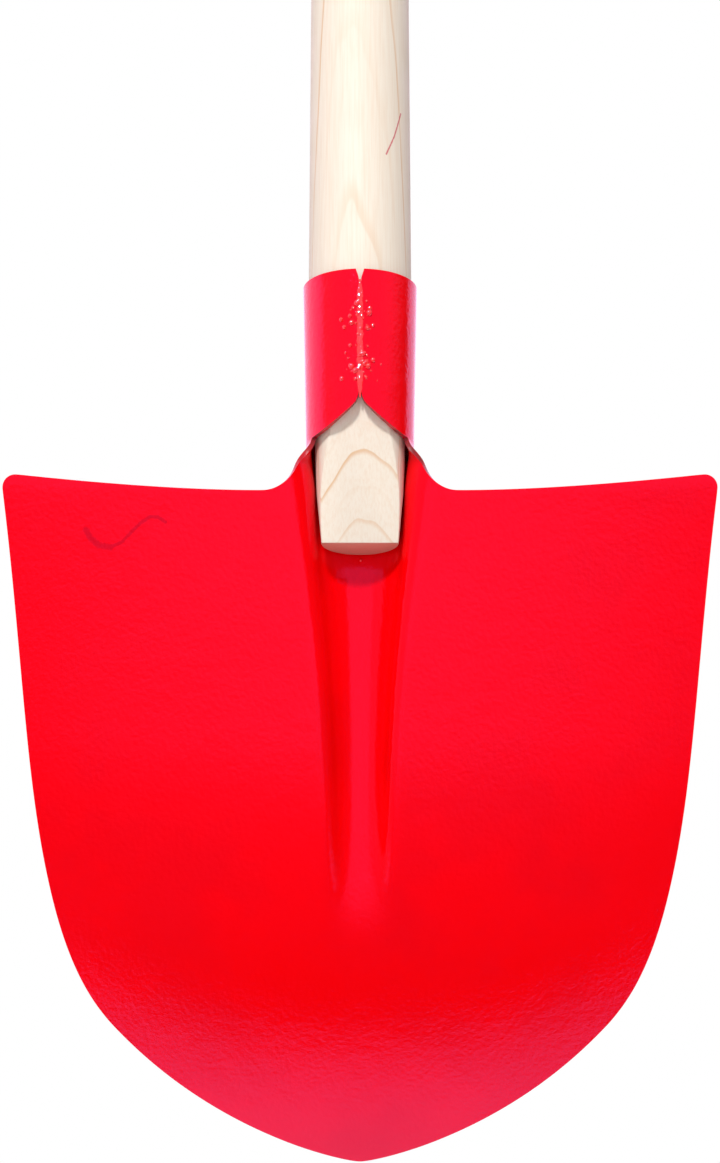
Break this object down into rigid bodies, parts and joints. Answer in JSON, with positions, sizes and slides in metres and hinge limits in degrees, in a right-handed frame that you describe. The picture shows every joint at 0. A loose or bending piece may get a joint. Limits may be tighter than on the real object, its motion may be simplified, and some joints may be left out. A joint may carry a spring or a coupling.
{
  "type": "round point shovel",
  "caption": "Pointed digging shovel: a pressed steel blade with an open-back frog and a welded socket, on a long straight wooden handle.",
  "frame": {"origin": "middle of the flat butt at the top of the handle, on the handle's axis", "axes": "+Z along the handle from the blade to the butt; X across the blade, with the shovel symmetric about X = 0; +Y out of the hollow front of the blade, which carries the load, and -Y out of its open back and the socket's seam"},
  "size_m": [0.2718, 0.1365, 1.5201],
  "materials": {
    "enamelled_steel": "glossy red enamel on pressed sheet steel, with a slight orange peel",
    "enamelled_weld": "the same glossy enamel over a rough weld bead",
    "bare_wood": "pale planed wood, unvarnished, with a fine grain",
    "plated_steel": "bright zinc plate"
  },
  "bodies": {
    "root": {"blade_and_socket": "enamelled_steel", "seam_weld": "enamelled_weld", "handle_shaft": "bare_wood", "fixing_screw": "plated_steel"}
  },
  "joints": []
}
